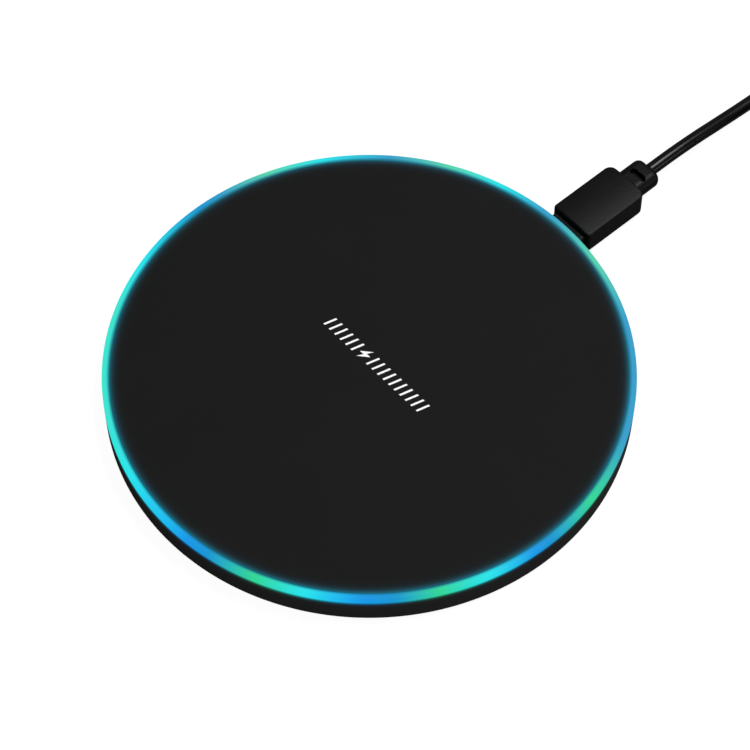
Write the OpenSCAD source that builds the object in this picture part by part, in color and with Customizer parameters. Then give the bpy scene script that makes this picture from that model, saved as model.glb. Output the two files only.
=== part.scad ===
// Round wireless charging pad with a lit rim, and the cable that feeds it.
// Millimetres. The origin is on the floor under the middle of the pad, +Z is up,
// +Y points out of the cable port, and +X is the reading direction of the printed mark.

/* [Pad] */
// Diameter of the case
case_d = 100; // [84:1:130]
// Height of the case, without its feet
case_h = 7; // [6.2:0.1:9]
// Wall of the bottom case
case_wall = 1.5; // [1.2:0.1:2]
// Floor of the bottom case
case_floor = 1; // [0.8:0.1:1.4]
// Thickness of the top cover
cover_t = 1.2; // [1:0.1:1.6]
// Radius of the bottom case's lower edge
base_edge_r = 0.4; // [0.3:0.1:1]

/* [Light ring] */
// Width of the lit band seen from above
ring_w = 1.3; // [1:0.1:2]
// Height of the lit band on the side
ring_h = 1.7; // [1.3:0.1:2]
// Thickness of the light guide inside the wall
guide_t = 1.2; // [0.8:0.1:1.6]
// Number of lamps around the rim
led_count = 8; // [6:2:12]

/* [Feet and screws] */
// Diameter of a rubber foot
foot_d = 10; // [8:0.5:13]
// How far a foot stands out of the case
foot_proud = 0.6; // [0.4:0.1:1.2]
// How deep a foot sits in the case
foot_sunk = 0.5; // [0.3:0.1:0.6]
// Distance from the rim to a foot's centre
foot_inset = 12; // [9:0.5:14]
// Screw shank diameter
screw_d = 2; // [1.8:0.1:2.4]
// Screw head diameter
screw_head_d = 3.8; // [3.4:0.1:4.4]

/* [Charging coil] */
// Outside diameter of the winding
coil_d = 44; // [38:1:48]
// Inside diameter of the winding
coil_bore = 20.5; // [16:0.5:24]
// Thickness of the litz wire
litz_d = 1.2; // [1:0.1:1.4]
// How far the ferrite reaches past the winding
ferrite_margin = 3; // [1:0.5:4]
// Thickness of the ferrite
ferrite_t = 0.8; // [0.5:0.1:1]
// Thickness of the tape between winding and cover
tape_t = 0.3; // [0.2:0.05:0.4]

/* [Circuit board] */
// Thickness of the board
board_t = 0.8; // [0.6:0.1:1]
// Gap between the board and the case floor
board_lift = 0.4; // [0.1:0.1:0.5]

/* [Micro-USB] */
// Width of the plug's metal shell
shell_w = 6.85; // [6.7:0.05:7]
// Height of the plug's metal shell
shell_h = 1.8; // [1.7:0.05:1.9]
// Thickness of both metal shells
shell_t = 0.25; // [0.2:0.05:0.3]
// How far the plug's shell stands out of its grip
shell_reach = 6.1; // [5.8:0.1:7]
// Distance from the case to the plug's grip
grip_gap = 2; // [1.5:0.1:3]
// Width of the plug's grip
grip_w = 10; // [9:0.1:12]
// Height of the plug's grip
grip_h = 5.2; // [4.2:0.1:5.4]
// Length of the plug's grip
grip_l = 15.4; // [12:0.1:20]
// Length of the collar in front of the grip
nose_l = 1.6; // [1:0.1:1.6]
// Length of the strain relief
relief_l = 6; // [6:0.5:12]
// Width of the strain relief
relief_w = 6.5; // [5:0.1:8]
// Height of the strain relief
relief_h = 4; // [3.6:0.1:4.2]

/* [USB-A plug] */
// Width of the metal shell
usb_a_w = 12; // [11.9:0.1:12.1]
// Height of the metal shell
usb_a_h = 4.5; // [4.4:0.1:4.6]
// How far the metal shell stands out
usb_a_reach = 12; // [11.7:0.1:14]
// Width of the grip
usb_a_grip_w = 15.7; // [14.5:0.1:17]
// Height of the grip
usb_a_grip_h = 7.5; // [7:0.1:8.5]
// Length of the grip
usb_a_grip_l = 22; // [18:0.5:26]

/* [Hidden] */
$fn = 96;

// Fits and clearances.
fit = 0.05;         // between pieces that locate each other
loose = 0.3;        // between pieces that only pass each other
screw_bite = 0.3;   // how much wider the screw is than its pilot hole
draft = 0.1;        // how much narrower the case is at the floor than at the rim
past = 1;           // how far a cutter reaches past the face that it cuts

// Radii of the case.
case_r = case_d / 2;
inner_r = case_r - case_wall;
cover_r = case_r - ring_w - fit;
guide_r = inner_r - fit;
guide_inner_r = guide_r - guide_t;
board_gap = 0.85;
board_r = guide_inner_r - board_gap;
foot_at = case_r - foot_inset;

// Heights of the case.
base_z = foot_proud;
floor_z = base_z + case_floor;
top_z = base_z + case_h;
ring_z = top_z - ring_h;
cover_z = top_z - cover_t;
board_z = floor_z + board_lift;
parts_z = board_z + board_t;
tape_z = cover_z - tape_t;
coil_z = tape_z - litz_d / 2;
ferrite_z = tape_z - litz_d - ferrite_t;
guide_lift = 0.4;
guide_z = parts_z + guide_lift;

// Bosses of the cover, and wells of the tray, round the four screws.
boss_d = 5;
well_wall = 1.35;
well_seat = 0.7;
head_t = 0.75;
head_z = base_z + foot_sunk;
well_d = screw_head_d + 2 * well_wall;
well_top = head_z + head_t + well_seat;
screw_end = cover_z - 0.6;

// Winding.
litz_pitch = litz_d * 0.98;
litz_turns = floor((coil_d - coil_bore) / 2 / litz_pitch);
first_turn_r = (coil_d - litz_d) / 2;
last_turn_r = first_turn_r - (litz_turns - 1) * litz_pitch;
ferrite_r = coil_d / 2 + ferrite_margin;
ferrite_pad_r = ferrite_r - 2;
lead_d = 0.8;
lead_end_r = ferrite_r + 3;
lead_angles = [-152, -148];
lead_slot_angle = (lead_angles[0] + lead_angles[1]) / 2;
lead_slot_w = 4.4;

// Ring on the board along which its parts stand.
parts_r = (ferrite_r + board_r) / 2 - 0.5;
lamp_r = board_r - 0.7;

// Micro-USB port and plug share one axis along Y.
mouth_sunk = 0.4;
mouth_y = case_r - mouth_sunk;
port_l = 5;
bay_w = shell_w + 2 * fit;
bay_h = shell_h + 2 * fit;
port_w = bay_w + 2 * shell_t;
port_h = bay_h + 2 * shell_t;
notch_w = port_w + 2 * loose;
guide_gap_w = notch_w + 5;
port_z = parts_z + port_h / 2;
port_back = mouth_y - port_l;
block_t = 1;
block_front = port_back + block_t;
shell_corner = 0.6;
grip_y = case_r + grip_gap;
tip_y = grip_y - shell_reach;
shell_sunk = 2;
nose_y = grip_y - nose_l;
nose_rim = 0.7;
nose_corner = 0.6;
grip_back = grip_y + grip_l;
relief_back = grip_back + relief_l;
grip_corner = 1.6;

// Contacts: the port's tongue hangs in the upper half of the plug's shell.
inside_top = shell_h / 2 - shell_t;
tongue_w = 3.9;
tongue_tip = mouth_y - 0.7;
tongue_low = 0.12;
contact_count = 5;
contact_pitch = 0.65;
contact_w = 0.4;
contact_t = 0.06;
plug_contact_t = 0.1;

// Latches in the lower face of the plug's shell.
latch_x = 1.9;
latch_w = 0.9;
latch_l = 3;
latch_back = 1.2;

// Cord: one metre in all, wound in two layers into a coil.
cord_d = 2.6;
wrap_t = 0.5;
turns_per_layer = 4.5;
coil_mid_r = 15.5;
last_turn_out = coil_mid_r + turns_per_layer * cord_d / 2;
bundle_w = (turns_per_layer + 1) * cord_d;
bundle_h = 2 * cord_d;
wound_x = last_turn_out;
wound_y = 120;
lay_z = wrap_t + cord_d / 2;
tie_angle = -50;
tie_arc = 14;

// USB-A plug lies beside the coil and points back along -Y.
usb_a_x = 54;
usb_a_y = 116;
usb_a_relief_l = 8;
usb_a_relief_d = 5.4;
usb_a_z = usb_a_grip_h / 2;
usb_a_grip_y = usb_a_y - usb_a_relief_l;
usb_a_face = usb_a_grip_y - usb_a_grip_l;
usb_a_tip = usb_a_face - usb_a_reach;
usb_a_wall = 0.3;
usb_a_corner = 1.5;
usb_a_low = usb_a_z - usb_a_h / 2 + usb_a_wall;
usb_a_block_h = 1.8;
usb_a_contact_pitch = 2.3;
usb_a_contact_w = 1.1;
usb_a_contact_t = 0.15;

// Routes of the cord outside its coil.
lead_route = [
    [0, relief_back, port_z],
    [0, 80, 3.9],
    [0, 86, 3.5],
    [0, 92, 2.8],
    [0, 98, 2.1],
    [0, 104, 1.6],
    [0, 110, 1.4],
    [0, 116, 1.6],
    [0, wound_y, lay_z]
];
tail_route = [
    [wound_x, wound_y + last_turn_out, lay_z + cord_d],
    [28, 141, 4.4],
    [34, 139.5, 4.4],
    [40, 137, 4.3],
    [45.5, 133, 4.2],
    [50, 128, 4],
    [53, 122, 3.8],
    [usb_a_x, usb_a_y, usb_a_z]
];

// Points of a ring of sides round a route's point, square to the route.
function toward(a, b) = (b - a) / norm(b - a);
function heading(route, i) = toward(route[max(i - 1, 0)], route[min(i + 1, len(route) - 1)]);
function across(d) = toward([0, 0, 0], cross(d, [0, 0, 1]));
function ring_point(centre, d, a, r) =
    centre + r * (cos(a) * across(d) + sin(a) * cross(across(d), d));
function corner_r(sides) = cord_d / 2 / sqrt(cos(180 / sides));

// A cord swept along a route, with flat ends square to its first and last direction.
module swept_cord(route, first, last, sides = 8) {
    n = len(route);
    points = [
        for (i = [0:n - 1])
            let (d = i == 0 ? first : i == n - 1 ? last : heading(route, i))
            for (k = [0:sides - 1])
                ring_point(route[i], d, 360 * (k + 0.5) / sides, corner_r(sides))
    ];
    walls = [
        for (i = [0:n - 2])
            for (k = [0:sides - 1])
                let (a = i * sides, m = (k + 1) % sides)
                [a + k, a + sides + k, a + sides + m, a + m]
    ];
    ends = [[for (k = [0:sides - 1]) k], [for (k = [sides - 1:-1:0]) (n - 1) * sides + k]];
    polyhedron(points, concat(walls, ends), convexity = 4);
}

// A flat outline in X and Z, pushed along Y from y0 to y1.
module along_y(y0, y1) {
    translate([0, y1, 0]) rotate([90, 0, 0]) linear_extrude(y1 - y0) children();
}

// A rectangle with round corners, about its own middle.
module rounded_rect(w, l, r) {
    square([w - 2 * r, l], center = true);
    square([w, l - 2 * r], center = true);
    for (x = [-1, 1], y = [-1, 1])
        translate([x * (w / 2 - r), y * (l / 2 - r)]) circle(r);
}

// A box whose sides along X and Y are centred, standing on z = 0.
module standing_box(x, y, z) {
    translate([-x / 2, -y / 2, 0]) cube([x, y, z]);
}

// A box centred on X, from y0 to y1 and from z0 to z1.
module bar(w, y0, y1, z0, z1) {
    translate([-w / 2, y0, z0]) cube([w, y1 - y0, z1 - z0]);
}

// Equal bars side by side along X.
module strips(count, pitch, w, y0, y1, z0, z1) {
    for (i = [0:count - 1])
        translate([(i - (count - 1) / 2) * pitch, 0, 0]) bar(w, y0, y1, z0, z1);
}

// Places a child at one foot, or at each of the four screws above the feet.
module at_foot(i) {
    rotate([0, 0, 45 + 90 * i]) translate([foot_at, 0, 0]) children();
}

module at_screws() {
    for (i = [0:3]) at_foot(i) children();
}

// Places a child on top of the board at an angle and a radius.
module on_board(angle, r) {
    rotate([0, 0, angle]) translate([r, 0, parts_z]) children();
}

// The D-shaped section of the micro-USB pieces, about the port's axis.
module micro_usb_outline(w, h) {
    polygon([
        [-w / 2, h / 2],
        [w / 2, h / 2],
        [w / 2, -h / 2 + shell_corner],
        [w / 2 - shell_corner, -h / 2],
        [-w / 2 + shell_corner, -h / 2],
        [-w / 2, -h / 2 + shell_corner]
    ]);
}

// Flat cover with four screw bosses and a rim that centres the winding.
module top_cover() {
    rim_t = 0.8;
    rim_drop = 0.9;
    edge = 0.25;
    color([0.12, 0.12, 0.12]) difference() {
        union() {
            rotate_extrude() polygon([
                [0, cover_z],
                [cover_r, cover_z],
                for (a = [0:15:90]) [cover_r - edge + edge * cos(a), top_z - edge + edge * sin(a)],
                [0, top_z]
            ]);
            at_screws() translate([0, 0, well_top]) cylinder(h = cover_z - well_top + fit, d = boss_d);
            rotate_extrude() translate([ferrite_r + loose, cover_z - rim_drop])
                square([rim_t, rim_drop + fit]);
        }
        at_screws() translate([0, 0, well_top - past])
            cylinder(h = screw_end + loose - well_top + past, d = screw_d - screw_bite);
    }
}

// Clear light guide: the band that glows at the rim, and the skirt the lamps shine into.
module light_ring() {
    edge = 0.3;
    color([0.3, 0.9, 0.9]) difference() {
        rotate_extrude() polygon([
            [guide_r, guide_z],
            [guide_r, ring_z],
            [case_r, ring_z],
            for (a = [0:15:90]) [case_r - edge + edge * cos(a), top_z - edge + edge * sin(a)],
            [case_r - ring_w, top_z],
            [case_r - ring_w, cover_z],
            [guide_inner_r, cover_z],
            [guide_inner_r, guide_z]
        ]);
        bar(guide_gap_w, 0, case_r, guide_z - past, ring_z);
    }
}

// Shallow tray with four screw wells and a notch for the port.
module bottom_case() {
    low_r = case_r - draft - base_edge_r;
    color([0.07, 0.07, 0.07]) difference() {
        union() {
            rotate_extrude() polygon([
                [0, base_z],
                for (a = [-90:15:0])
                    [low_r + base_edge_r * cos(a), base_z + base_edge_r * (1 + sin(a))],
                [case_r, ring_z],
                [inner_r, ring_z],
                [inner_r, floor_z],
                [0, floor_z]
            ]);
            at_screws() translate([0, 0, base_z]) cylinder(h = well_top - base_z, d = well_d);
        }
        at_screws() translate([0, 0, base_z - past]) {
            cylinder(h = foot_sunk + past, d = foot_d);
            cylinder(h = foot_sunk + head_t + past, d = screw_head_d + 2 * fit);
            cylinder(h = well_top - base_z + 2 * past, d = screw_d + 2 * fit);
        }
        bar(notch_w, inner_r - past, case_r + past, parts_z, ring_z + past);
    }
}

// One rubber foot, set in its recess over a screw.
module foot(i) {
    edge = foot_proud / 2;
    foot_r = foot_d / 2 - fit;
    color([0.16, 0.16, 0.16]) at_foot(i) rotate_extrude() polygon([
        [0, 0],
        [foot_r - edge, 0],
        [foot_r, edge],
        [foot_r, head_z],
        [0, head_z]
    ]);
}

// Four pan-head screws that hold the cover, the light ring and the tray together.
module case_screws() {
    slot_w = 0.4;
    slot_l = 2;
    color([0.75, 0.75, 0.78]) at_screws() difference() {
        union() {
            translate([0, 0, head_z + fit]) cylinder(h = head_t - fit, d = screw_head_d);
            translate([0, 0, head_z + fit]) cylinder(h = screw_end - head_z - fit, d = screw_d);
        }
        for (a = [0, 90])
            rotate([0, 0, a]) translate([0, 0, head_z + fit - past])
                standing_box(slot_l, slot_w, head_t / 2 + past);
    }
}

// Round board with a hole round each screw well.
module circuit_board() {
    color([0.05, 0.3, 0.15]) difference() {
        translate([0, 0, board_z]) cylinder(h = board_t, r = board_r);
        at_screws() translate([0, 0, board_z - past])
            cylinder(h = board_t + 2 * past, d = well_d + 2 * loose);
    }
}

// Foam tape that lifts the ferrite off the board.
module ferrite_pad() {
    color([0.85, 0.85, 0.82]) translate([0, 0, parts_z])
        cylinder(h = ferrite_z - parts_z, r = ferrite_pad_r);
}

// Ferrite disc, slotted for the two leads of the winding.
module ferrite_sheet() {
    color([0.2, 0.2, 0.21]) difference() {
        translate([0, 0, ferrite_z]) cylinder(h = ferrite_t, r = ferrite_r);
        rotate([0, 0, lead_slot_angle]) translate([last_turn_r - litz_d, -lead_slot_w / 2, ferrite_z - past])
            cube([ferrite_r, lead_slot_w, ferrite_t + 2 * past]);
    }
}

// Flat winding of litz wire.
module charging_coil() {
    web = litz_d * 0.6;
    color([0.72, 0.4, 0.2]) rotate_extrude() translate([0, coil_z]) {
        for (i = [0:litz_turns - 1])
            translate([first_turn_r - i * litz_pitch, 0]) circle(d = litz_d, $fn = 32);
        translate([last_turn_r, -web / 2]) square([first_turn_r - last_turn_r, web]);
    }
}

// The winding's two ends, led through the slot in the ferrite down to the board.
module coil_leads() {
    starts = [last_turn_r, first_turn_r];
    lead_z = ferrite_z + ferrite_t - lead_d / 2;
    color([0.8, 0.5, 0.25]) for (i = [0:1]) rotate([0, 0, lead_angles[i]]) {
        translate([starts[i], 0, lead_z]) rotate([0, 90, 0])
            cylinder(h = lead_end_r - starts[i], d = lead_d, $fn = 24);
        translate([lead_end_r, 0, lead_z]) sphere(d = lead_d, $fn = 24);
        translate([lead_end_r, 0, parts_z]) cylinder(h = lead_z - parts_z, d = lead_d, $fn = 24);
    }
}

// Tape that bonds the winding to the underside of the cover.
module coil_tape() {
    color([0.9, 0.8, 0.5]) translate([0, 0, tape_z]) difference() {
        cylinder(h = tape_t, d = coil_d);
        translate([0, 0, -past]) cylinder(h = tape_t + 2 * past, d = coil_bore);
    }
}

// Metal shell of the port, soldered to the board.
module port_shell() {
    color([0.8, 0.8, 0.82]) translate([0, 0, port_z]) difference() {
        along_y(port_back, mouth_y) micro_usb_outline(port_w, port_h);
        along_y(port_back - past, mouth_y + past) micro_usb_outline(bay_w, bay_h);
    }
}

// Moulded block at the back of the port, with the tongue that carries its contacts.
module port_tongue() {
    color([0.1, 0.1, 0.1]) translate([0, 0, port_z]) {
        along_y(port_back, block_front) micro_usb_outline(bay_w, bay_h);
        bar(tongue_w, block_front - fit, tongue_tip, tongue_low, inside_top - fit);
    }
}

// Five gilt strips under the tongue.
module port_contacts() {
    color([0.9, 0.75, 0.35]) translate([0, 0, port_z])
        strips(contact_count, contact_pitch, contact_w,
            block_front, tongue_tip - loose, tongue_low - contact_t, tongue_low);
}

// Control chip of the charger.
module controller_chip() {
    color([0.08, 0.08, 0.08]) on_board(0, parts_r) standing_box(5, 5, 0.9);
}

// Four transistors that drive the winding.
module bridge_transistors() {
    color([0.1, 0.1, 0.1]) for (a = [158, 168, 192, 202])
        on_board(a, parts_r) standing_box(3.3, 3.3, 1);
}

// Four capacitors in series with the winding.
module resonant_capacitors() {
    color([0.75, 0.6, 0.45]) for (a = [-105:10:-75])
        on_board(a, parts_r) standing_box(3.2, 2.5, 2);
}

// Two capacitors across the supply, beside the port.
module input_capacitors() {
    color([0.75, 0.6, 0.45]) for (a = [72, 108])
        on_board(a, parts_r) standing_box(3.2, 1.6, 1.6);
}

// Small resistors near the control chip.
module chip_resistors() {
    color([0.15, 0.15, 0.15]) for (a = [-20, -16, -12, 12, 16, 20], r = [-2, 1])
        on_board(a, parts_r + r) standing_box(0.8, 1.6, 0.45);
}

// Resistor that measures the current.
module sense_resistor() {
    color([0.12, 0.12, 0.14]) on_board(180, parts_r) standing_box(3.2, 6.4, 0.6);
}

// Lamps on the edge of the board, shining outward into the light ring.
module rim_lamps() {
    color([0.95, 0.95, 0.9]) for (i = [0:led_count - 1])
        on_board((i + 0.5) * 360 / led_count, lamp_r) standing_box(1.2, 3, 1);
}

// Bead that feels the heat at the middle of the winding.
module heat_sensor() {
    color([0.15, 0.15, 0.2]) translate([0, 0, ferrite_z + ferrite_t])
        cylinder(h = cover_z - ferrite_z - ferrite_t - fit, d = 2.4);
}

// Moulded grip of the plug with its strain relief in one piece.
module plug_grip() {
    relief_r = relief_h / 2 - 0.2;
    groove_w = 0.8;
    groove_t = 0.5;
    groove_y = grip_back + relief_l * 0.45;
    color([0.08, 0.08, 0.08]) translate([0, 0, port_z]) difference() {
        union() {
            translate([0, grip_y + grip_l / 2, -grip_h / 2])
                linear_extrude(grip_h) rounded_rect(grip_w, grip_l, grip_corner);
            bar(grip_w, grip_y, grip_y + grip_corner, -grip_h / 2, grip_h / 2);
            along_y(grip_back - past, relief_back) rounded_rect(relief_w, relief_h, relief_r);
            along_y(nose_y, grip_y + past)
                rounded_rect(shell_w + 2 * nose_rim, shell_h + 2 * nose_rim, nose_corner);
        }
        along_y(nose_y - past, grip_y + shell_sunk) micro_usb_outline(shell_w, shell_h);
        bar(relief_w / 2, groove_y, groove_y + groove_w, relief_h / 2 - groove_t, relief_h);
    }
}

// Metal shell of the plug, with two windows for its latches.
module plug_shell() {
    color([0.8, 0.8, 0.82]) translate([0, 0, port_z]) difference() {
        along_y(tip_y, grip_y + shell_sunk) micro_usb_outline(shell_w, shell_h);
        along_y(tip_y - past, grip_y + shell_sunk + past)
            micro_usb_outline(shell_w - 2 * shell_t, shell_h - 2 * shell_t);
        latches(0, past);
    }
}

// The two latches, or their windows, narrower all round by the inset and reaching down by the drop.
module latches(inset, drop) {
    for (x = [-latch_x, latch_x]) translate([x, 0, 0])
        bar(latch_w - 2 * inset, tip_y + latch_back + inset, tip_y + latch_back + latch_l - inset,
            -shell_h / 2 - drop, -inside_top);
}

// Moulded block inside the plug, with room for the port's tongue.
module plug_insulator() {
    room = 0.15;
    color([0.1, 0.1, 0.1]) translate([0, 0, port_z]) difference() {
        along_y(tip_y + 2 * fit, grip_y + shell_sunk)
            micro_usb_outline(shell_w - 2 * shell_t, shell_h - 2 * shell_t);
        bar(tongue_w + 2 * room, tip_y - past, tongue_tip + room, -plug_contact_t, past);
    }
}

// Five gilt strips in the plug, facing the port's strips.
module plug_contacts() {
    color([0.9, 0.75, 0.35]) translate([0, 0, port_z])
        strips(contact_count, contact_pitch, contact_w, tip_y + loose, tongue_tip + fit,
            -plug_contact_t, 0);
}

// Two sprung latches, flush in the shell's windows.
module plug_latches() {
    color([0.7, 0.7, 0.72]) translate([0, 0, port_z]) latches(fit, 0);
}

// Cord from the strain relief to the coil.
module cord_lead() {
    color([0.08, 0.08, 0.08]) swept_cord(lead_route, [0, 1, 0], [0, 1, 0]);
}

// Outer shape of the wound cord.
module cord_coil() {
    color([0.09, 0.09, 0.09]) translate([wound_x, wound_y, wrap_t]) rotate_extrude()
        translate([coil_mid_r, bundle_h / 2]) rounded_rect(bundle_w, bundle_h, cord_d / 2);
}

// Cord from the coil to the USB-A plug.
module cord_tail() {
    color([0.08, 0.08, 0.08]) swept_cord(tail_route, [1, 0, 0], [0, -1, 0]);
}

// Flat tie round the bundle of turns.
module coil_tie() {
    color([0.12, 0.12, 0.12]) translate([wound_x, wound_y, 0])
        rotate([0, 0, tie_angle - tie_arc / 2]) rotate_extrude(angle = tie_arc)
            translate([coil_mid_r, wrap_t + bundle_h / 2]) difference() {
                square([bundle_w + 2 * wrap_t, bundle_h + 2 * wrap_t], center = true);
                square([bundle_w, bundle_h], center = true);
            }
}

// Moulded grip of the USB-A plug with its strain relief.
module usb_a_grip() {
    color([0.08, 0.08, 0.08]) translate([usb_a_x, 0, 0]) difference() {
        union() {
            translate([0, usb_a_face + usb_a_grip_l / 2, 0])
                linear_extrude(usb_a_grip_h) rounded_rect(usb_a_grip_w, usb_a_grip_l, usb_a_corner);
            translate([0, usb_a_y, usb_a_z]) rotate([90, 0, 0])
                cylinder(h = usb_a_relief_l + fit, d = usb_a_relief_d);
        }
        bar(usb_a_w, usb_a_face - past, usb_a_face + shell_sunk,
            usb_a_z - usb_a_h / 2, usb_a_z + usb_a_h / 2);
    }
}

// Metal shell of the USB-A plug, with two square windows through each wide face.
module usb_a_shell() {
    window_x = 2.7;
    window_w = 2.5;
    window_y = usb_a_tip + 5.2;
    inside = usb_a_h / 2 - usb_a_wall;
    color([0.82, 0.82, 0.84]) translate([usb_a_x, 0, usb_a_z]) difference() {
        bar(usb_a_w, usb_a_tip, usb_a_face + shell_sunk, -usb_a_h / 2, usb_a_h / 2);
        bar(usb_a_w - 2 * usb_a_wall, usb_a_tip - past, usb_a_face + shell_sunk + past, -inside, inside);
        for (x = [-window_x, window_x]) translate([x, 0, 0])
            bar(window_w, window_y, window_y + window_w, -usb_a_h, usb_a_h);
    }
}

// Moulded block in the lower half of the USB-A shell.
module usb_a_insulator() {
    color([0.9, 0.9, 0.9]) translate([usb_a_x, 0, usb_a_low])
        bar(usb_a_w - 2 * usb_a_wall, usb_a_tip + loose, usb_a_face + shell_sunk, 0, usb_a_block_h);
}

// Four gilt strips on the block.
module usb_a_contacts() {
    color([0.9, 0.75, 0.35]) translate([usb_a_x, 0, usb_a_low + usb_a_block_h])
        strips(4, usb_a_contact_pitch, usb_a_contact_w, usb_a_tip + 4 * loose, usb_a_face,
            0, usb_a_contact_t);
}

top_cover();
light_ring();
bottom_case();
foot(0);  // foot_1
foot(1);  // foot_2
foot(2);  // foot_3
foot(3);  // foot_4
case_screws();
circuit_board();
ferrite_pad();
ferrite_sheet();
charging_coil();
coil_leads();
coil_tape();
port_shell();
port_tongue();
port_contacts();
controller_chip();
bridge_transistors();
resonant_capacitors();
input_capacitors();
chip_resistors();
sense_resistor();
rim_lamps();
heat_sensor();
plug_grip();
plug_shell();
plug_insulator();
plug_contacts();
plug_latches();
cord_lead();
cord_coil();
cord_tail();
coil_tie();
usb_a_grip();
usb_a_shell();
usb_a_insulator();
usb_a_contacts();
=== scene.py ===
import math

import bmesh
import bpy
from mathutils import Matrix, Vector


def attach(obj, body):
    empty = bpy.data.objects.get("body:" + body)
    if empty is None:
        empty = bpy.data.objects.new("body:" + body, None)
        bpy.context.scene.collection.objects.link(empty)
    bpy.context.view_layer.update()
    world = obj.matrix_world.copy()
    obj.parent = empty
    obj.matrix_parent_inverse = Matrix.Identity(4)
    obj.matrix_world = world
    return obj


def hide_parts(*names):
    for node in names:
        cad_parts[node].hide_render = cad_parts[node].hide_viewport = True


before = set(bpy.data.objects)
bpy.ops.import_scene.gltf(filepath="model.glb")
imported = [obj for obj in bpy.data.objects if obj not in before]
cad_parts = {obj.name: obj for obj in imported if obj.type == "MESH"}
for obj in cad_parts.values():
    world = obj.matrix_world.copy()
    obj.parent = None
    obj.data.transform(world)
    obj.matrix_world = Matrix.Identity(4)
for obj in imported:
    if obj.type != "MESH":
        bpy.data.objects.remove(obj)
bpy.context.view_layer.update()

MM = 0.001
TURN = 2 * math.pi
FINE = 256
WELD = 0.0005
CRISP = math.radians(32)

# Pad, in millimetres, as its maker draws it.
CASE_R = 50
INNER_R = 48.5
COVER_R = 48.65
SEAT_R = 48.7
GUIDE_R = 48.45
LEDGE_R = 47.25
BASE_Z = 0.6
FLOOR_Z = 1.6
PARTS_Z = 2.8
GUIDE_Z = 3.2
RING_Z = 5.9
COVER_Z = 6.4
TOP_Z = 7.6
FOOT_AT = 38
FOOT_R = 4.95
FOOT_SEAT_R = 5
SEAT_Z = 1.1
WELL_R = 3.25
WELL_TOP = 2.55
BOSS_R = 2.5
SCREW_BORE_R = 0.85
SCREW_HEAD_R = 1.95
SCREW_SHANK_R = 1.05

# Port and the plug in it.
PORT_Z = 4.0
PORT_BAY = 6.525
PORT_NOTCH = 4.025
PORT_SHELL = (7.45, 2.4)
PLUG_SHELL = (6.85, 1.8)
SHELL_WALL = 0.25
GRIP_HALF = 5
GRIP_LOW = 1.4
GRIP_HIGH = 6.6
RELIEF_END = 73.4

# Coil of the cord, and the plug at its far end.
CORD_R = 1.3
OUTER_TURN = 21.35
INNER_TURN = 9.65
WOUND = (OUTER_TURN, 120)
USB_X = 54
USB_Z = 3.75
USB_SHELL = (12, 4.5)
USB_WALL = 0.3

# Camera: azimuth and elevation in degrees, distance in metres, aim in millimetres.
CAMERA_SIDE = (48.4, 56.4)
CAMERA_AWAY = 0.6
CAMERA_LENS = 154.1
AIM_RIGHT = 1.06
AIM_DOWN = 1.53

# Colours of the lit rim, by the angle round the pad.
BLUE = (24, 150, 210)
DEEP = (22, 152, 232)
GREEN = (50, 214, 148)
MINT = (90, 212, 172)
TEAL = (54, 158, 202)
CYAN = (40, 228, 236)
AQUA = (60, 228, 208)
SKY = (28, 190, 240)
RIM = [
    (0, BLUE), (13, GREEN), (29, TEAL), (46, TEAL), (61, TEAL), (78, MINT), (95, TEAL),
    (108, CYAN), (120, MINT), (134, TEAL), (149, CYAN), (162, MINT), (174, TEAL), (180, BLUE),
    (199, CYAN), (212, AQUA), (240, AQUA), (257, CYAN), (270, SKY), (277, DEEP), (283, BLUE),
    (294, GREEN), (305, CYAN), (311, SKY), (317, DEEP), (324, BLUE), (333, GREEN), (344, CYAN),
    (355, DEEP),
]


# Camera and light.

def spot(azimuth, elevation):
    """Unit vector from the object towards a place round it."""
    a = math.radians(azimuth)
    e = math.radians(elevation)
    return Vector((math.sin(a) * math.cos(e), -math.cos(a) * math.cos(e), math.sin(e)))


def make_camera():
    back = spot(*CAMERA_SIDE)
    right = Vector((0, 0, 1)).cross(back).normalized()
    up = back.cross(right)
    target = Vector((0, 0, TOP_Z * MM)) + right * AIM_RIGHT * MM - up * AIM_DOWN * MM
    data = bpy.data.cameras.new("camera")
    data.sensor_width = 36
    data.lens = CAMERA_LENS
    data.clip_start = 0.01
    data.clip_end = 20
    camera = bpy.data.objects.new("camera", data)
    camera.location = target + back * CAMERA_AWAY
    camera.rotation_mode = "QUATERNION"
    camera.rotation_quaternion = (-back).to_track_quat("-Z", "Y")
    bpy.context.collection.objects.link(camera)
    bpy.context.scene.camera = camera


def make_softbox(name, azimuth, elevation, distance, size, power):
    data = bpy.data.lights.new(name, "AREA")
    data.shape = "RECTANGLE"
    data.size, data.size_y = size
    data.energy = power
    lamp = bpy.data.objects.new(name, data)
    toward = spot(azimuth, elevation)
    lamp.location = toward * distance
    lamp.rotation_mode = "QUATERNION"
    lamp.rotation_quaternion = toward.to_track_quat("Z", "Y")
    bpy.context.collection.objects.link(lamp)


def make_light():
    world = bpy.data.worlds.new("studio")
    world.use_nodes = True
    sky = world.node_tree.nodes["Background"]
    sky.inputs["Color"].default_value = (1, 1, 1, 1)
    sky.inputs["Strength"].default_value = 0.2
    bpy.context.scene.world = world
    bpy.context.scene.view_settings.view_transform = "Standard"
    make_softbox("top softbox", 168, 66, 1.2, (0.5, 0.5), 13)
    make_softbox("right softbox", 106, 9, 1.2, (0.8, 0.12), 2.4)
    make_softbox("front fill", 30, 14, 1.2, (0.9, 0.3), 4)


# Materials.

def linear(rgb):
    """Colour sockets take linear light, and the names above are screen values."""
    parts = [c / 255 for c in rgb]
    return [c / 12.92 if c <= 0.04045 else ((c + 0.055) / 1.055) ** 2.4 for c in parts] + [1]


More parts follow.
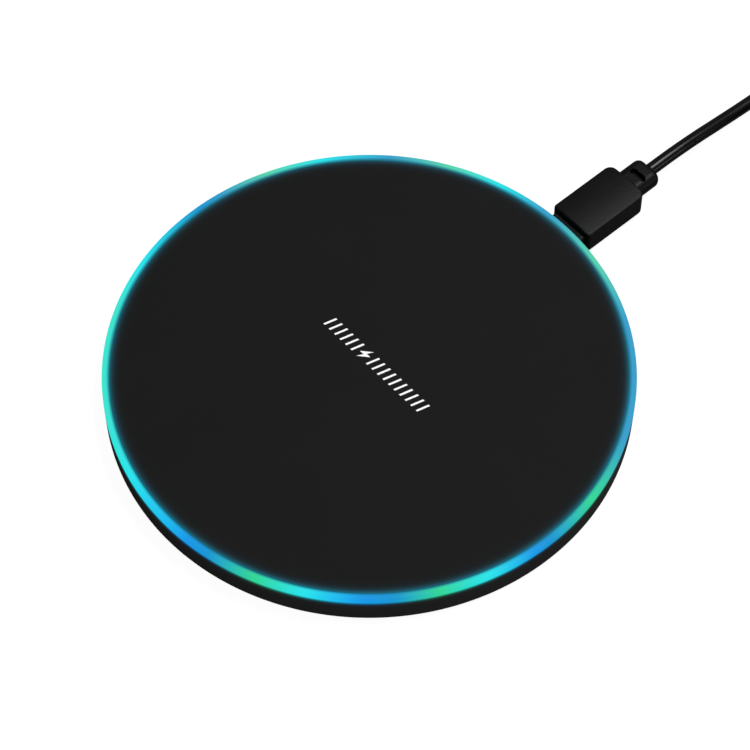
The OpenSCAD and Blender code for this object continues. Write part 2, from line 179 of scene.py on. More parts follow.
def add(mat, kind, **settings):
    node = mat.node_tree.nodes.new("ShaderNode" + kind)
    for key, value in settings.items():
        setattr(node, key, value)
    return node


def join(mat, out, into):
    mat.node_tree.links.new(out, into)


def start(name, rough=0.5, metal=0.0, gloss=0.5):
    """A material with its shader's plain values set."""
    mat = bpy.data.materials.new(name)
    mat.use_nodes = True
    shader = mat.node_tree.nodes["Principled BSDF"]
    shader.inputs["Roughness"].default_value = rough
    shader.inputs["Metallic"].default_value = metal
    shader.inputs["Specular IOR Level"].default_value = gloss
    return mat, shader


def place(mat, stretch=(1, 1, 1)):
    """Object coordinates, stretched for a pattern."""
    where = add(mat, "TexCoord")
    mapping = add(mat, "Mapping", vector_type="TEXTURE")
    mapping.inputs["Scale"].default_value = stretch
    join(mat, where.outputs["Object"], mapping.inputs["Vector"])
    return mapping.outputs["Vector"]


def mottle(mat, vector, scale, detail=3.0):
    noise = add(mat, "TexNoise")
    noise.inputs["Scale"].default_value = scale
    noise.inputs["Detail"].default_value = detail
    noise.inputs["Roughness"].default_value = 0.55
    join(mat, vector, noise.inputs["Vector"])
    return noise.outputs["Fac"]


def ramp(mat, value, stops):
    """A colour ramp of screen colours at their places."""
    node = add(mat, "ValToRGB")
    points = node.color_ramp.elements
    while len(points) < len(stops):
        points.new(0.5)
    for point, (at, rgb) in zip(points, sorted(stops)):
        point.position = at
        point.color = linear(rgb)
    join(mat, value, node.inputs["Fac"])
    return node.outputs["Color"]


def span(mat, value, low, high, start_at=0.0, end_at=1.0):
    node = add(mat, "MapRange")
    node.inputs["From Min"].default_value = start_at
    node.inputs["From Max"].default_value = end_at
    node.inputs["To Min"].default_value = low
    node.inputs["To Max"].default_value = high
    join(mat, value, node.inputs["Value"])
    return node.outputs["Result"]


def sums(mat, kind, a, b=None):
    node = add(mat, "Math", operation=kind)
    for socket, value in zip(node.inputs, (a, b)):
        if isinstance(value, (int, float)):
            socket.default_value = value
        elif value is not None:
            join(mat, value, socket)
    return node.outputs["Value"]


def relief(mat, shader, height, depth, strength=1.0):
    """Bump of a depth in metres."""
    node = add(mat, "Bump")
    node.inputs["Strength"].default_value = strength
    node.inputs["Distance"].default_value = depth
    join(mat, height, node.inputs["Height"])
    join(mat, node.outputs["Normal"], shader.inputs["Normal"])


def moulded(name, dark, light, rough, gloss, grain=9000, depth=0.00001):
    """Moulded plastic or rubber: a fine grain, and slow changes of shade and sheen."""
    mat, shader = start(name, rough, gloss=gloss)
    here = place(mat)
    fine = mottle(mat, here, grain, 2)
    slow = mottle(mat, here, 160, 3)
    join(mat, ramp(mat, slow, [(0.3, dark), (0.7, light)]), shader.inputs["Base Color"])
    join(mat, span(mat, slow, rough - 0.06, rough + 0.06), shader.inputs["Roughness"])
    relief(mat, shader, fine, depth)
    return mat


def plated(name, dark, light, rough, run=(1, 30, 1)):
    """Plated or drawn metal, with fine lines along one direction."""
    mat, shader = start(name, rough, 1.0)
    lines = mottle(mat, place(mat, run), 14000, 3)
    slow = mottle(mat, place(mat), 300, 3)
    join(mat, ramp(mat, slow, [(0.3, dark), (0.7, light)]), shader.inputs["Base Color"])
    join(mat, span(mat, lines, rough - 0.08, rough + 0.1), shader.inputs["Roughness"])
    relief(mat, shader, lines, 0.000004, 0.5)
    return mat


def rim_colour(mat):
    """The lit rim's colour at each angle round the pad, the distance from the middle, the height."""
    axes = add(mat, "SeparateXYZ")
    join(mat, place(mat), axes.inputs["Vector"])
    x, y, z = axes.outputs
    angle = sums(mat, "ARCTAN2", y, x)
    stops = [(((a + 180) % 360) / 360, rgb) for a, rgb in RIM]
    stops += [(1.0, BLUE)]
    colour = ramp(mat, span(mat, angle, 0, 1, -math.pi, math.pi), stops)
    square = sums(mat, "ADD", sums(mat, "MULTIPLY", x, x), sums(mat, "MULTIPLY", y, y))
    radius = sums(mat, "SQRT", square)
    return colour, radius, z


def blended(mat, share, first, second):
    """Goes from the first colour to the second as the share goes from 0 to 1."""
    node = add(mat, "Mix", data_type="RGBA")
    into = {s.identifier: s for s in node.inputs}
    join(mat, share, into["Factor_Float"])
    for key, colour in (("A_Color", first), ("B_Color", second)):
        if isinstance(colour, tuple):
            into[key].default_value = linear(colour)
        else:
            join(mat, colour, into[key])
    return {s.identifier: s for s in node.outputs}["Result_Color"]


def lit(mat, shader, share, colour):
    """Light of a share from 0 to 1, given off by the surface: the rim's own light, and a painted glow
    where the cover and case use it.
    """
    join(mat, blended(mat, share, (0, 0, 0), colour), shader.inputs["Emission Color"])
    shader.inputs["Emission Strength"].default_value = 1.0


def cover_finish():
    """Soft matte black, with a painted glow of the rim's light on its edge."""
    mat, shader = start("matte black cover, painted rim glow", 0.7, gloss=0.08)
    here = place(mat)
    fine = mottle(mat, here, 7000, 2)
    slow = mottle(mat, here, 60, 3)
    shade = ramp(mat, slow, [(0.3, (19, 19, 19)), (0.7, (21, 21, 21))])
    join(mat, shade, shader.inputs["Base Color"])
    join(mat, span(mat, slow, 0.66, 0.74), shader.inputs["Roughness"])
    relief(mat, shader, fine, 0.000008)
    # Painted glow: teal emission on the cover's edge, fading inward from the rim, stands in for the
    # rim's light spilling over.
    _, radius, _ = rim_colour(mat)
    painted_glow_fade = sums(mat, "DIVIDE", sums(mat, "SUBTRACT", radius, SEAT_R * MM), 0.42 * MM)
    lit(mat, shader, sums(mat, "EXPONENT", painted_glow_fade), (14, 112, 134))
    return mat


def case_finish():
    """Fine matte black, with a painted glow of the rim's colour along its upper edge."""
    mat, shader = start("black case, painted rim glow", 0.62, gloss=0.12)
    here = place(mat)
    fine = mottle(mat, here, 6000, 2)
    slow = mottle(mat, here, 90, 3)
    shade = ramp(mat, slow, [(0.3, (34, 34, 34)), (0.7, (38, 38, 38))])
    join(mat, shade, shader.inputs["Base Color"])
    join(mat, span(mat, slow, 0.58, 0.68), shader.inputs["Roughness"])
    relief(mat, shader, fine, 0.00001)
    # Painted glow: emission in the rim's colour along the case's upper edge, fading downward, stands
    # in for the rim's light on it.
    colour, _, z = rim_colour(mat)
    painted_glow_fade = sums(mat, "DIVIDE", sums(mat, "SUBTRACT", z, RING_Z * MM), 0.3 * MM)
    share = sums(mat, "MULTIPLY", sums(mat, "EXPONENT", painted_glow_fade), 0.14)
    lit(mat, shader, share, colour)
    return mat


def rim_finish():
    """Frosted clear plastic, lit from inside in slow changes of colour."""
    mat, shader = start("lit rim", 0.4, gloss=0.05)
    colour, radius, z = rim_colour(mat)
    frost = mottle(mat, place(mat), 5000, 2)
    shader.inputs["Base Color"].default_value = (0.002, 0.004, 0.005, 1)
    join(mat, span(mat, frost, 0.36, 0.46), shader.inputs["Roughness"])
    inward = span(mat, radius, 0, 1, 48.6 * MM, 49.2 * MM)
    lower = span(mat, z, 0.15, 1, RING_Z * MM, 6.55 * MM)
    lit(mat, shader, lower, blended(mat, inward, (26, 104, 128), colour))
    relief(mat, shader, frost, 0.000004)
    return mat


def ink_finish():
    mat, shader = start("white ink", 0.55, gloss=0.3)
    wash = mottle(mat, place(mat), 2500, 3)
    shade = ramp(mat, wash, [(0.2, (232, 232, 232)), (0.6, (250, 250, 250))])
    join(mat, shade, shader.inputs["Base Color"])
    relief(mat, shader, wash, 0.000003)
    return mat


def board_finish():
    """Green solder mask, with tracks and ground plane showing through."""
    mat, shader = start("solder mask", 0.3)
    cells = add(mat, "TexBrick")
    cells.inputs["Scale"].default_value = 260
    cells.inputs["Mortar Size"].default_value = 0.03
    cells.inputs["Color1"].default_value = linear((24, 92, 52))
    cells.inputs["Color2"].default_value = linear((30, 104, 58))
    cells.inputs["Mortar"].default_value = linear((52, 138, 78))
    join(mat, place(mat), cells.inputs["Vector"])
    join(mat, cells.outputs["Color"], shader.inputs["Base Color"])
    fine = mottle(mat, place(mat), 3000, 2)
    join(mat, span(mat, fine, 0.25, 0.38), shader.inputs["Roughness"])
    relief(mat, shader, cells.outputs["Fac"], 0.00003)
    return mat


def litz_finish():
    """Twisted copper strands under clear lacquer."""
    mat, shader = start("litz copper", 0.32, 0.9)
    wave = add(mat, "TexWave", wave_type="BANDS", bands_direction="DIAGONAL")
    wave.inputs["Scale"].default_value = 900
    wave.inputs["Distortion"].default_value = 0.6
    join(mat, place(mat), wave.inputs["Vector"])
    shade = ramp(mat, wave.outputs["Fac"], [(0.1, (128, 62, 28)), (0.9, (214, 128, 74))])
    join(mat, shade, shader.inputs["Base Color"])
    relief(mat, shader, wave.outputs["Fac"], 0.00004)
    return mat


def tape_finish():
    mat, shader = start("amber tape", 0.25, gloss=0.6)
    slow = mottle(mat, place(mat), 400, 3)
    shade = ramp(mat, slow, [(0.3, (168, 104, 28)), (0.7, (196, 128, 40))])
    join(mat, shade, shader.inputs["Base Color"])
    join(mat, span(mat, slow, 0.2, 0.35), shader.inputs["Roughness"])
    relief(mat, shader, slow, 0.00002)
    return mat


def foam_finish():
    mat, shader = start("white foam", 0.9, gloss=0.2)
    cells = add(mat, "TexVoronoi")
    cells.inputs["Scale"].default_value = 3000
    join(mat, place(mat), cells.inputs["Vector"])
    shade = ramp(mat, cells.outputs["Distance"], [(0.0, (196, 194, 186)), (0.5, (226, 225, 218))])
    join(mat, shade, shader.inputs["Base Color"])
    relief(mat, shader, cells.outputs["Distance"], 0.00006)
    return mat


MATERIALS = {
    "cover": cover_finish(),
    "rim": rim_finish(),
    "ink": ink_finish(),
    "case": case_finish(),
    "rubber": moulded("foot rubber", (38, 38, 38), (48, 48, 48), 0.85, 0.2, 4000, 0.00002),
    "plug": moulded("plug black", (5, 5, 5), (8, 8, 8), 0.42, 0.12, 3600, 0.00004),
    "cord": moulded("cord black", (3, 3, 3), (6, 6, 6), 0.26, 0.22, 3000, 0.000002),
    "plate": plated("nickel plate", (176, 176, 180), (206, 206, 210), 0.24),
    "steel": plated("zinc steel", (150, 152, 158), (190, 192, 196), 0.32, (30, 30, 1)),
    "gilt": plated("gilt", (214, 164, 76), (240, 196, 104), 0.22),
    "block": moulded("contact block", (18, 18, 19), (26, 26, 27), 0.5, 0.4, 5000),
    "white block": moulded("white block", (222, 222, 220), (236, 236, 234), 0.45, 0.5, 5000),
    "board": board_finish(),
    "ferrite": moulded("ferrite", (52, 52, 56), (70, 70, 74), 0.55, 0.4, 3500, 0.00003),
    "litz": litz_finish(),
    "tape": tape_finish(),
    "foam": foam_finish(),
    "chip": moulded("chip black", (26, 26, 28), (36, 36, 38), 0.6, 0.4, 8000, 0.00001),
    "ceramic": moulded("ceramic tan", (150, 118, 84), (176, 142, 104), 0.5, 0.4, 5000),
    "lamp": moulded("lamp body", (226, 226, 214), (240, 240, 230), 0.35, 0.5, 5000),
    "bead": moulded("sensor bead", (30, 30, 42), (44, 44, 58), 0.3, 0.6, 3000),
    "tie": moulded("tie plastic", (14, 14, 15), (22, 22, 23), 0.35, 0.45, 3000, 0.00002),
}


# Making pieces.

def finish_mesh(name, bm, body, slot, material, *nodes):
    """Makes a mesh drawn in millimetres into a piece in metres that rides on its body."""
    bmesh.ops.remove_doubles(bm, verts=bm.verts, dist=WELD)
    bmesh.ops.recalc_face_normals(bm, faces=bm.faces)
    bmesh.ops.scale(bm, vec=(MM, MM, MM), verts=bm.verts)
    for face in bm.faces:
        face.smooth = True
    for edge in bm.edges:
        edge.smooth = edge.calc_face_angle(0) < CRISP
    mesh = bpy.data.meshes.new(name)
    bm.to_mesh(mesh)
    bm.free()
    mesh.materials.append(MATERIALS[material])
    piece = bpy.data.objects.new(name, mesh)
    bpy.context.collection.objects.link(piece)
    weighted = piece.modifiers.new("even shading", "WEIGHTED_NORMAL")
    weighted.keep_sharp = True
    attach(piece, body)
    if nodes:
        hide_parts(*nodes)
    return piece


def arc(x, y, r, first, last, count=6):
    """Points on an arc, in degrees."""
    step = (last - first) / count
    angles = [math.radians(first + step * i) for i in range(count + 1)]
    return [(x + r * math.cos(a), y + r * math.sin(a)) for a in angles]


def soft_box(w, h, r, count=6, x=0, y=0):
    """Outline of a rectangle with round corners."""
    a = w / 2 - r
    b = h / 2 - r
    corners = [(a, b, 0), (-a, b, 90), (-a, -b, 180), (a, -b, 270)]
    points = []
    for cx, cy, turn in corners:
        points += arc(x + cx, y + cy, r, turn, turn + 90, count)
    return points


def spun(profile, steps=FINE, middle=(0, 0), closed=False):
    """A profile of radius and height, spun about an upright axis."""
    bm = bmesh.new()
    cx, cy = middle
    points = [bm.verts.new((cx + r, cy, z)) for r, z in profile]
    pairs = list(zip(points, points[1:]))
    if closed:
        pairs.append((points[-1], points[0]))
    edges = [bm.edges.new(pair) for pair in pairs]
    bmesh.ops.spin(bm, geom=points + edges, cent=(cx, cy, 0), axis=(0, 0, 1), dvec=(0, 0, 0),
                   angle=TURN, steps=steps, use_merge=True, use_duplicate=False)
    bmesh.ops.remove_doubles(bm, verts=bm.verts, dist=WELD)
    bmesh.ops.recalc_face_normals(bm, faces=bm.faces)
    return bm


def pushed(outline, low, high, axis="Z"):
    """A flat outline pushed from low to high along an axis."""
    bm = bmesh.new()
    if axis == "Z":
        points = [bm.verts.new((x, y, low)) for x, y in outline]
        way = (0, 0, high - low)
    else:
        points = [bm.verts.new((x, low, z)) for x, z in outline]
        way = (0, high - low, 0)
    face = bm.faces.new(points)
    grown = bmesh.ops.extrude_face_region(bm, geom=[face], use_keep_orig=True)
    moved = [v for v in grown["geom"] if isinstance(v, bmesh.types.BMVert)]
    bmesh.ops.translate(bm, vec=way, verts=moved)
    bmesh.ops.remove_doubles(bm, verts=bm.verts, dist=WELD)
    bmesh.ops.recalc_face_normals(bm, faces=bm.faces)
    return bm


def eased(bm, test, width, segments=4):
    """Rounds the edges that pass a test of their middle and direction."""
    picked = []
    for edge in bm.edges:
        a, b = (v.co for v in edge.verts)
        if test((a + b) / 2, (b - a).normalized()):
            picked.append(edge)
    bmesh.ops.bevel(bm, geom=picked, offset=width, offset_type="OFFSET", segments=segments,
                    profile=0.5, affect="EDGES", clamp_overlap=True, material=-1)
    return bm


def crowned(bm, half, middle, rise):
    """Makes the flat top of a block a little round across its width."""
    for x in range(1 - half, half):
        geom = bm.verts[:] + bm.edges[:] + bm.faces[:]
        bmesh.ops.bisect_plane(bm, geom=geom, plane_co=(x, 0, 0), plane_no=(1, 0, 0))
    for vert in bm.verts:
        if vert.co.z > middle:
            vert.co.z += rise * (0.7 - (vert.co.x / half) ** 2)
    return bm


def gathered(*shapes):
    """Puts separate shapes into one mesh."""
    whole = bmesh.new()
    for bm in shapes:
        mesh = bpy.data.meshes.new("part")
        bm.to_mesh(mesh)
        bm.free()
        whole.from_mesh(mesh)
        bpy.data.meshes.remove(mesh)
    return whole


def shaped(bm, tool, kind):
    """Cuts a mesh with another, or joins the two into one solid."""
    holders = []
    for part in (bm, tool):
        mesh = bpy.data.meshes.new("part")
        part.to_mesh(mesh)
        part.free()
        holders.append(bpy.data.objects.new("part", mesh))
        bpy.context.collection.objects.link(holders[-1])
    body, cutter = holders
    step = body.modifiers.new("cut", "BOOLEAN")
    step.operation = kind
    step.solver = "EXACT"
    step.object = cutter
    bpy.context.view_layer.update()
    made = body.evaluated_get(bpy.context.evaluated_depsgraph_get()).to_mesh()
    result = bmesh.new()
    result.from_mesh(made)
    for holder in holders:
        mesh = holder.data
        bpy.data.objects.remove(holder)
        bpy.data.meshes.remove(mesh)
    return result


def cut(bm, tool):
    return shaped(bm, tool, "DIFFERENCE")


def fused(bm, tool):
    return shaped(bm, tool, "UNION")


def block(low, high):
    """A plain cutter from one corner to the other."""
    bm = bmesh.new()
    size = [b - a for a, b in zip(low, high)]
    middle = [(a + b) / 2 for a, b in zip(low, high)]
    bmesh.ops.create_cube(bm, size=1, matrix=Matrix.Translation(middle) @ Matrix.Diagonal((*size, 1)))
    return bm


def foot_places():
    angles = [TURN * (i + 0.5) / 4 for i in range(4)]
    return [(FOOT_AT * math.cos(a), FOOT_AT * math.sin(a)) for a in angles]


# Cord.

LEAD = [
    (0, 0.0734, 0.004), (0, 0.080, 0.0039), (0, 0.086, 0.0035), (0, 0.092, 0.0028),
    (0, 0.098, 0.0021), (0, 0.104, 0.0016), (0, 0.110, 0.0014), (0, 0.116, 0.0016),
]
TAIL = [
    (0.028, 0.141, 0.0044), (0.034, 0.1395, 0.0044), (0.040, 0.137, 0.0043),
    (0.0455, 0.133, 0.0042), (0.050, 0.128, 0.004), (0.053, 0.122, 0.0038),
    (0.054, 0.116, 0.00375),
]
PER_TURN = 16


def wound_points():
    """Two flat layers of turns: inward on the surface, a step up, and outward on top."""
    inward = round(4.5 * PER_TURN)
    rise = round(0.25 * PER_TURN)
    points = []
    for i in range(2 * inward + rise + 1):
        angle = math.pi - TURN * i / PER_TURN
        if i <= inward:
            part, up = i / inward, 0
        elif i <= inward + rise:
            part, up = 1, (i - inward) / rise
        else:
            part, up = 1 - (i - inward - rise) / inward, 1
        r = OUTER_TURN + (INNER_TURN - OUTER_TURN) * part
        x = WOUND[0] + r * math.cos(angle)
        y = WOUND[1] + r * math.sin(angle)
        points.append((x * MM, y * MM, (1.8 + 2.6 * up) * MM))
    return points


def make_cord():
    points = LEAD + wound_points() + TAIL
    data = bpy.data.curves.new("cord", "CURVE")
    data.dimensions = "3D"
    data.resolution_u = 6
    data.bevel_depth = CORD_R * MM
    data.bevel_resolution = 4
    data.use_fill_caps = True
    line = data.splines.new("BEZIER")
    line.bezier_points.add(len(points) - 1)
    for knot, co in zip(line.bezier_points, points):
        knot.co = co
        knot.handle_left_type = "AUTO"
        knot.handle_right_type = "AUTO"
    data.materials.append(MATERIALS["cord"])
    cord = bpy.data.objects.new("cord", data)
    bpy.context.collection.objects.link(cord)
    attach(cord, "cable")
    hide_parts("cord_lead", "cord_coil", "cord_tail")
    return cord


# Pad.

def make_cover():
    """Flat disc with a rounded edge, four screw bosses and a rim round the winding."""
    edge = arc(COVER_R - 0.25, TOP_Z - 0.25, 0.25, 0, 90, 5)
    disc = spun([(0, COVER_Z), (COVER_R, COVER_Z)] + edge + [(0, TOP_Z)])
    low = COVER_Z - 0.9
    root = COVER_Z + 0.1
    rim = spun([(25.3, low), (26.1, low), (26.1, root), (25.3, root)], steps=96, closed=True)
    shapes = [disc, rim]
    boss = [(SCREW_BORE_R, WELL_TOP), (BOSS_R, WELL_TOP), (BOSS_R, root), (SCREW_BORE_R, root)]
    for at in foot_places():
        shapes.append(spun(boss, steps=32, middle=at, closed=True))
    finish_mesh("cover", gathered(*shapes), "pad", "cover_black", "cover", "top_cover")


def make_rim():
    """Lit band with the skirt that guides the light to it."""
    profile = [(GUIDE_R, GUIDE_Z), (GUIDE_R, RING_Z), (CASE_R, RING_Z)]
    profile += arc(CASE_R - 0.3, TOP_Z - 0.3, 0.3, 0, 90, 5)
    profile += [(SEAT_R + 0.08, TOP_Z), (SEAT_R, TOP_Z - 0.08), (SEAT_R, COVER_Z)]
    profile += [(LEDGE_R, COVER_Z), (LEDGE_R, GUIDE_Z)]
    band = spun(profile, closed=True)
    band = cut(band, block((-PORT_BAY, 0, 2), (PORT_BAY, 49, RING_Z)))
    finish_mesh("lit_rim", band, "pad", "lit_ring", "rim", "light_ring")


def make_tray():
    """Shallow tray with rounded lower edge, foot recesses, screw wells and the port's notch."""
    profile = [(0, BASE_Z)] + arc(49.5, BASE_Z + 0.4, 0.4, -90, 0, 5)
    profile += [(CASE_R, RING_Z), (INNER_R, RING_Z), (INNER_R, FLOOR_Z), (0, FLOOR_Z)]
    tray = spun(profile)
    well = [(0, 0.9), (WELL_R, 0.9), (WELL_R, WELL_TOP), (0, WELL_TOP)]
    wells = [spun(well, steps=48, middle=at) for at in foot_places()]
    tray = fused(tray, gathered(*wells))
    hole = [(0, 0), (5.3, 0), (5.3, BASE_Z - 0.02), (FOOT_SEAT_R, BASE_Z + 0.2)]
    hole += [(FOOT_SEAT_R, SEAT_Z), (SCREW_HEAD_R, SEAT_Z), (SCREW_HEAD_R, 1.85)]
    hole += [(SCREW_SHANK_R, 1.85), (SCREW_SHANK_R, 3), (0, 3)]
    holes = [spun(hole, steps=64, middle=at) for at in foot_places()]
    tray = cut(tray, gathered(*holes))
    tray = cut(tray, block((-PORT_NOTCH, 47, PARTS_Z), (PORT_NOTCH, 52, 7)))
    finish_mesh("case_tray", tray, "pad", "case_black", "case", "bottom_case")


def make_feet():
    """Round rubber feet with a shallow hollow underneath."""
    profile = [(0, 0.06), (3.9, 0.06), (4.1, 0)] + arc(FOOT_R - 0.33, 0.33, 0.33, -90, 0, 5)
    profile += [(FOOT_R, SEAT_Z), (0, SEAT_Z)]
    for i, at in enumerate(foot_places()):
        pad = spun(profile, steps=72, middle=at)
        finish_mesh(f"rubber_foot_{i + 1}", pad, "pad", "foot_rubber", "rubber", f"foot_{i + 1}")


def make_mark():
    """Printed row of signs: a flash between two runs of thin slanted bars."""
    flash = [(0.8, 1.5), (-1.2, -0.25), (-0.15, -0.25), (-0.8, -1.5), (1.2, 0.25), (0.15, 0.25)]
    shapes = [pushed([(x - 3.2, y) for x, y in flash], 0, 0.02)]
    step = 1.55
    half = 1.3
    runs = [-13.1 + step * i for i in range(6)] + [-1.0 + step * i for i in range(10)]
    for x in runs:
        bar = [(x - 0.55, -half), (x - 0.13, -half), (x + 0.55, half), (x + 0.13, half)]
        shapes.append(pushed(bar, 0, 0.02))
    mark = gathered(*shapes)
    bmesh.ops.translate(mark, vec=(0.52, 1.32, TOP_Z - 0.005), verts=mark.verts)
    finish_mesh("printed_mark", mark, "pad", "cover_black", "ink")


def make_winding():
    """Flat spiral of nine turns."""
    data = bpy.data.curves.new("winding", "CURVE")
    data.dimensions = "3D"
    data.resolution_u = 4
    data.bevel_depth = 0.0006
    data.bevel_resolution = 2
    data.use_fill_caps = True
    turns, knots = 9, 24
    line = data.splines.new("BEZIER")
    line.bezier_points.add(turns * knots)
    for i, knot in enumerate(line.bezier_points):
        angle = math.radians(-148) + TURN * i / knots
        r = 21.4 - (21.4 - 11.99) * i / (turns * knots)
        knot.co = (r * math.cos(angle) * MM, r * math.sin(angle) * MM, (COVER_Z - 0.9) * MM)
        knot.handle_left_type = "AUTO"
        knot.handle_right_type = "AUTO"
    data.materials.append(MATERIALS["litz"])
    winding = bpy.data.objects.new("winding", data)
    bpy.context.collection.objects.link(winding)
    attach(winding, "pad")
    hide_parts("charging_coil")


# Plug in the pad's port.

def d_outline(w, h, corner=0.6, ease=0.12):
    """Section of the micro-USB metalwork, wide side up."""
    points = arc(w / 2 - ease, h / 2 - ease, ease, 0, 90, 2)
    points += arc(-w / 2 + ease, h / 2 - ease, ease, 90, 180, 2)
    points += [(-w / 2, -h / 2 + corner), (-w / 2 + corner, -h / 2)]
    points += [(w / 2 - corner, -h / 2), (w / 2, -h / 2 + corner)]
    return points


def within(size, wall):
    """Width and height left inside a wall."""
    return size[0] - 2 * wall, size[1] - 2 * wall


def sleeve(outside, inside, low, high):
    """A thin metal tube along Y."""
    return cut(pushed(outside, low, high, "Y"), pushed(inside, low - 1, high + 1, "Y"))


def raised(bm, z):
    bmesh.ops.translate(bm, vec=(0, 0, z), verts=bm.verts)
    return bm


def make_port():
    outside = d_outline(*PORT_SHELL, 0.72)
    inside = d_outline(*within(PORT_SHELL, SHELL_WALL), 0.58)
    shell = raised(sleeve(outside, inside, 44.6, 49.6), PORT_Z)
    finish_mesh("port_shell_metal", shell, "pad", "plated_shell", "plate", "port_shell")


def make_plug_shell():
    outside = d_outline(*PLUG_SHELL)
    inside = d_outline(*within(PLUG_SHELL, SHELL_WALL), 0.46)
    shell = raised(sleeve(outside, inside, 45.9, 54), PORT_Z)
    for x in (-1.9, 1.9):
        shell = cut(shell, block((x - 0.45, 47.1, 2.4), (x + 0.45, 50.1, 3.3)))
    finish_mesh("plug_shell_metal", shell, "cable", "plated_shell", "plate", "plug_shell")


def make_plug_grip():
    """Moulded block with a collar in front and a strain relief behind."""
    outline = arc(3.4, 65.8, 1.6, 0, 90, 8) + arc(-3.4, 65.8, 1.6, 90, 180, 8)
    outline += arc(-4.3, 52.7, 0.7, 180, 270, 4) + arc(4.3, 52.7, 0.7, 270, 360, 4)
    body = pushed(outline, GRIP_LOW, GRIP_HIGH)
    eased(body, lambda at, way: abs(way.z) < 0.5, 0.4)
    crowned(body, GRIP_HALF, PORT_Z, 0.35)
    nose = pushed(soft_box(8.25, 3.2, 0.6, 4, 0, PORT_Z), 50.4, 53, "Y")
    eased(nose, lambda at, way: at.y < 50.5 and abs(way.y) < 0.5, 0.2, 3)
    barrel = pushed(soft_box(6.5, 4.0, 1.8, 8, 0, PORT_Z), 66, RELIEF_END, "Y")
    eased(barrel, lambda at, way: at.y > RELIEF_END - 0.1 and abs(way.y) < 0.5, 1.3, 6)
    grip = fused(fused(body, nose), barrel)
    grip = cut(grip, pushed(soft_box(3.8, 1.5, 0.74, 6, 0.3, 69.8), 4.9, 7))
    grip = cut(grip, raised(pushed(d_outline(*PLUG_SHELL), 50, 54, "Y"), PORT_Z))
    finish_mesh("plug_body", grip, "cable", "plug_black", "plug", "plug_grip")


# Wound cord's tie, and the USB-A plug.

def make_tie():
    """Flat plastic tie round the turns, its two ends twisted and laid down on top."""
    middle = 15.2
    tie = cut(pushed(soft_box(13.1, 6.2, 1.5, 6, middle, 3.1), -1.9, 1.9, "Y"),
              pushed(soft_box(12.1, 5.3, 1.1, 6, middle, 3.1), -3, 3, "Y"))
    knot = pushed(soft_box(2.4, 2.8, 0.9, 6, middle, 0), 5.9, 7)
    tie = fused(tie, eased(knot, lambda at, way: at.z > 6.9, 0.35))
    for lean in (-20, 20):
        end = pushed(soft_box(1.9, 6.5, 0.4, 4, 0, 3.6), 5.8, 6.15)
        bmesh.ops.rotate(end, cent=(0, 0, 0), matrix=Matrix.Rotation(math.radians(lean), 3, "Z"),
                         verts=end.verts)
        bmesh.ops.translate(end, vec=(middle, 0, 0.004 * lean), verts=end.verts)
        tie = fused(tie, end)
    turn = Matrix.Translation((*WOUND, 0)) @ Matrix.Rotation(math.radians(-50), 4, "Z")
    bmesh.ops.transform(tie, matrix=turn, verts=tie.verts)
    finish_mesh("cord_tie", tie, "cable", "tie_black", "tie", "coil_tie")


def make_usb_grip():
    """Moulded grip with finger ridges, and a ribbed strain relief."""
    body = pushed(soft_box(15.7, 7.5, 1.6, 6, USB_X, USB_Z), 86, 108, "Y")
    eased(body, lambda at, way: abs(way.y) < 0.5, 0.5)
    for i in range(4):
        y = 92 + 3 * i
        for z in (-0.35, 7.85):
            groove = pushed(soft_box(10, 1.0, 0.49, 6, USB_X, y), z - 0.5, z + 0.5)
            body = cut(body, groove)
    ribs = [(0, 107), (2.7, 107)]
    for i in range(4):
        y = 108.6 + 1.7 * i
        r = 2.7 - 0.12 * i
        ribs += [(r, y), (r - 0.5, y + 0.1), (r - 0.5, y + 0.7), (r - 0.1, y + 0.8)]
    ribs += [(2.15, 115.6), (1.9, 116), (0, 116)]
    barrel = spun(ribs, steps=40)
    bmesh.ops.rotate(barrel, cent=(0, 0, 0), matrix=Matrix.Rotation(-math.pi / 2, 3, "X"),
                     verts=barrel.verts)
    bmesh.ops.translate(barrel, vec=(USB_X, 0, USB_Z), verts=barrel.verts)
    grip = fused(body, barrel)
    grip = cut(grip, block((USB_X - 6, 84, 1.5), (USB_X + 6, 88, 6)))
    finish_mesh("usb_a_body", grip, "cable", "plug_black", "plug", "usb_a_grip")


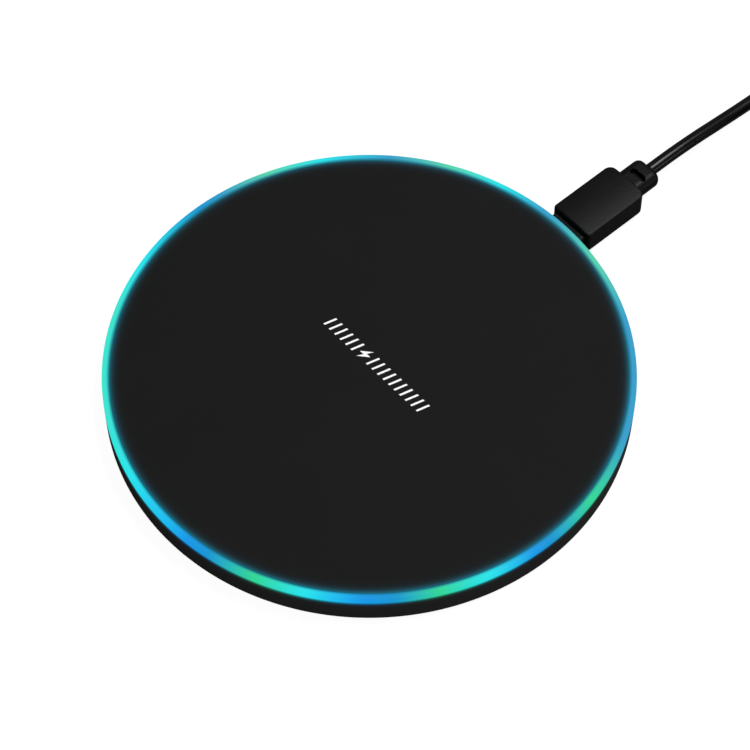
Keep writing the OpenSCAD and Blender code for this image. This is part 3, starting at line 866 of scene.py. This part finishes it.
def make_usb_shell():
    outside = soft_box(*USB_SHELL, 0.35, 4, USB_X, USB_Z)
    inside = soft_box(*within(USB_SHELL, USB_WALL), 0.1, 2, USB_X, USB_Z)
    tube = sleeve(outside, inside, 74, 88)
    for x in (-2.7, 2.7):
        tube = cut(tube, block((USB_X + x - 1.25, 79.2, 0), (USB_X + x + 1.25, 81.7, 8)))
    finish_mesh("usb_a_metal", tube, "cable", "plated_shell", "plate", "usb_a_shell")


# Materials of the pieces whose CAD shape stays.

KEPT = {
    "case_screws": "steel", "circuit_board": "board", "ferrite_pad": "foam",
    "ferrite_sheet": "ferrite", "coil_leads": "litz", "coil_tape": "tape",
    "port_tongue": "block", "port_contacts": "gilt", "controller_chip": "chip",
    "bridge_transistors": "chip", "resonant_capacitors": "ceramic",
    "input_capacitors": "ceramic", "chip_resistors": "chip", "sense_resistor": "chip",
    "rim_lamps": "lamp", "heat_sensor": "bead", "plug_insulator": "block",
    "plug_contacts": "gilt", "plug_latches": "plate", "usb_a_insulator": "white block",
    "usb_a_contacts": "gilt",
}


def dress_kept_pieces():
    for node, material in KEPT.items():
        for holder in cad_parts[node].material_slots:
            holder.material = MATERIALS[material]


def make_floor():
    """Pale floor, a hair below the feet so that the two do not share a plane."""
    bm = bmesh.new()
    bmesh.ops.create_circle(bm, cap_ends=True, segments=64, radius=4)
    mesh = bpy.data.meshes.new("floor")
    bm.to_mesh(mesh)
    bm.free()
    mat, shader = start("pale floor", 0.9, gloss=0.1)
    slow = mottle(mat, place(mat), 4, 2)
    shade = ramp(mat, slow, [(0.2, (92, 92, 92)), (0.8, (96, 96, 96))])
    join(mat, shade, shader.inputs["Base Color"])
    shader.inputs["Emission Color"].default_value = (1, 1, 1, 1)
    seen = add(mat, "LightPath").outputs["Is Camera Ray"]
    join(mat, span(mat, seen, 0, 0.95), shader.inputs["Emission Strength"])
    mesh.materials.append(mat)
    floor = bpy.data.objects.new("floor", mesh)
    floor.location.z = -0.00002
    bpy.context.collection.objects.link(floor)


make_camera()
cord = make_cord()
make_cover()
make_rim()
make_tray()
make_feet()
make_mark()
make_winding()
make_port()
make_plug_shell()
make_plug_grip()
make_tie()
make_usb_grip()
make_usb_shell()
dress_kept_pieces()
make_floor()
make_light()
